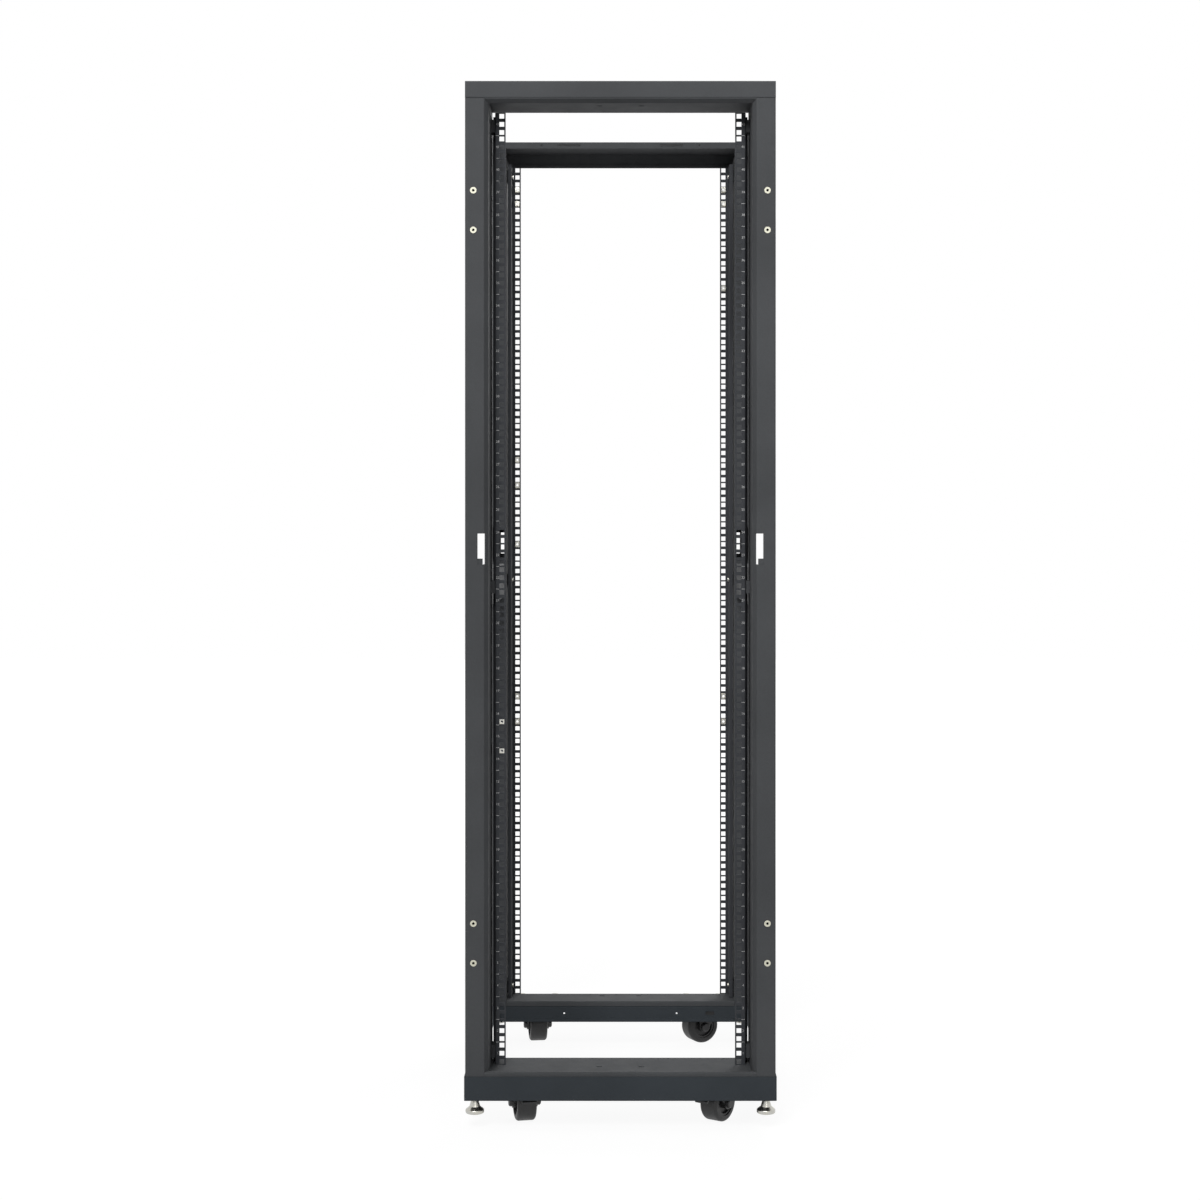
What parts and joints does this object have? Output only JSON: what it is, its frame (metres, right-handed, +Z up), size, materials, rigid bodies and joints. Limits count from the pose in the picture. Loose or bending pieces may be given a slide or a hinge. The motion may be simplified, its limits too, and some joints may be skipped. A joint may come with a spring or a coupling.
{
  "type": "open equipment rack frame",
  "caption": "Open four-post server rack frame with square-hole rails, top and bottom bars, plinth, swivel casters and levelling feet.",
  "frame": {"origin": "on the floor under the middle of the rack's outline", "axes": "+Z up along the uprights, +X to the right seen from the front, the front faces -Y"},
  "size_m": [0.6, 0.8, 2.016],
  "materials": {
    "frame_paint": "fine textured powder coat, satin",
    "rail_paint": "powder coat, satin",
    "base_paint": "fine textured powder coat, satin",
    "zinc": "zinc plated",
    "caster_steel": "black, satin",
    "tread": "hard moulded tread",
    "hub_plastic": "moulded",
    "print": "screen printed unit marks"
  },
  "bodies": {
    "rack": {"front_left_upright": "frame_paint", "front_left_rail": "rail_paint", "front_right_upright": "frame_paint", "front_right_rail": "rail_paint", "rear_left_upright": "frame_paint", "rear_left_rail": "rail_paint", "rear_right_upright": "frame_paint", "rear_right_rail": "rail_paint", "front_top_bar": "frame_paint", "rear_top_bar": "frame_paint", "front_bottom_bar": "frame_paint", "rear_bottom_bar": "frame_paint", "left_top_beam": "frame_paint", "right_top_beam": "frame_paint", "left_middle_beam": "frame_paint", "right_middle_beam": "frame_paint", "rail_brackets": "frame_paint", "latch_strikers": "frame_paint", "front_base_channel": "base_paint", "rear_base_channel": "base_paint", "front_base_skirt": "base_paint", "rear_base_skirt": "base_paint", "left_base_rail": "base_paint", "right_base_rail": "base_paint", "frame_bolts": "zinc", "rail_bolts": "zinc", "cage_nuts": "zinc", "hinge_rivet_nuts": "zinc", "caster_bolts": "zinc", "foot_weld_nuts": "zinc", "foot_lock_nuts": "zinc", "caster_plates": "caster_steel"},
    "front_left_caster": {"front_left_fork": "caster_steel", "front_left_axle": "caster_steel"},
    "front_left_wheel": {"front_left_tyre": "tread", "front_left_hub": "hub_plastic"},
    "front_left_pedal": {"front_left_brake_pedal": "hub_plastic"},
    "front_left_foot": {"front_left_levelling_foot": "zinc"},
    "front_right_caster": {"front_right_fork": "caster_steel", "front_right_axle": "caster_steel"},
    "front_right_wheel": {"front_right_tyre": "tread", "front_right_hub": "hub_plastic"},
    "front_right_pedal": {"front_right_brake_pedal": "hub_plastic"},
    "front_right_foot": {"front_right_levelling_foot": "zinc"},
    "rear_left_caster": {"rear_left_fork": "caster_steel", "rear_left_axle": "caster_steel"},
    "rear_left_wheel": {"rear_left_tyre": "tread", "rear_left_hub": "hub_plastic"},
    "rear_left_foot": {"rear_left_levelling_foot": "zinc"},
    "rear_right_caster": {"rear_right_fork": "caster_steel", "rear_right_axle": "caster_steel"},
    "rear_right_wheel": {"rear_right_tyre": "tread", "rear_right_hub": "hub_plastic"},
    "rear_right_foot": {"rear_right_levelling_foot": "zinc"}
  },
  "joints": [
    {"name": "front_left_swivel", "type": "hinge", "parent": "rack", "child": "front_left_caster", "pos_m": [-0.186, -0.322, 0.08], "axis": [0, 0, 1], "continuous": true},
    {"name": "front_left_spin", "type": "hinge", "parent": "front_left_caster", "child": "front_left_wheel", "pos_m": [-0.18766, -0.31417, 0.0375], "axis": [0.9781, 0.2079, 0], "continuous": true},
    {"name": "front_left_brake", "type": "hinge", "parent": "front_left_caster", "child": "front_left_pedal", "pos_m": [-0.18039, -0.34841, 0.066], "axis": [-0.9781, -0.2079, 0], "range_deg": [0, 12]},
    {"name": "front_left_foot_screw", "type": "slide", "parent": "rack", "child": "front_left_foot", "axis": [0, 0, -1], "range_m": [0, 0.03]},
    {"name": "front_right_swivel", "type": "hinge", "parent": "rack", "child": "front_right_caster", "pos_m": [0.186, -0.322, 0.08], "axis": [0, 0, 1], "continuous": true},
    {"name": "front_right_spin", "type": "hinge", "parent": "front_right_caster", "child": "front_right_wheel", "pos_m": [0.19059, -0.31545, 0.0375], "axis": [0.8192, -0.5736, 0], "continuous": true},
    {"name": "front_right_brake", "type": "hinge", "parent": "front_right_caster", "child": "front_right_pedal", "pos_m": [0.17051, -0.34412, 0.066], "axis": [-0.8192, 0.5736, 0], "range_deg": [0, 12]},
    {"name": "front_right_foot_screw", "type": "slide", "parent": "rack", "child": "front_right_foot", "axis": [0, 0, -1], "range_m": [0, 0.03]},
    {"name": "rear_left_swivel", "type": "hinge", "parent": "rack", "child": "rear_left_caster", "pos_m": [-0.186, 0.322, 0.08], "axis": [0, 0, 1], "continuous": true},
    {"name": "rear_left_spin", "type": "hinge", "parent": "rear_left_caster", "child": "rear_left_wheel", "pos_m": [-0.18711, 0.32992, 0.0375], "axis": [0.9903, 0.1392, 0], "continuous": true},
    {"name": "rear_left_foot_screw", "type": "slide", "parent": "rack", "child": "rear_left_foot", "axis": [0, 0, -1], "range_m": [0, 0.03]},
    {"name": "rear_right_swivel", "type": "hinge", "parent": "rack", "child": "rear_right_caster", "pos_m": [0.186, 0.322, 0.08], "axis": [0, 0, 1], "continuous": true},
    {"name": "rear_right_spin", "type": "hinge", "parent": "rear_right_caster", "child": "rear_right_wheel", "pos_m": [0.17887, 0.31837, 0.0375], "axis": [-0.454, 0.891, 0], "continuous": true},
    {"name": "rear_right_foot_screw", "type": "slide", "parent": "rack", "child": "rear_right_foot", "axis": [0, 0, -1], "range_m": [0, 0.03]}
  ]
}
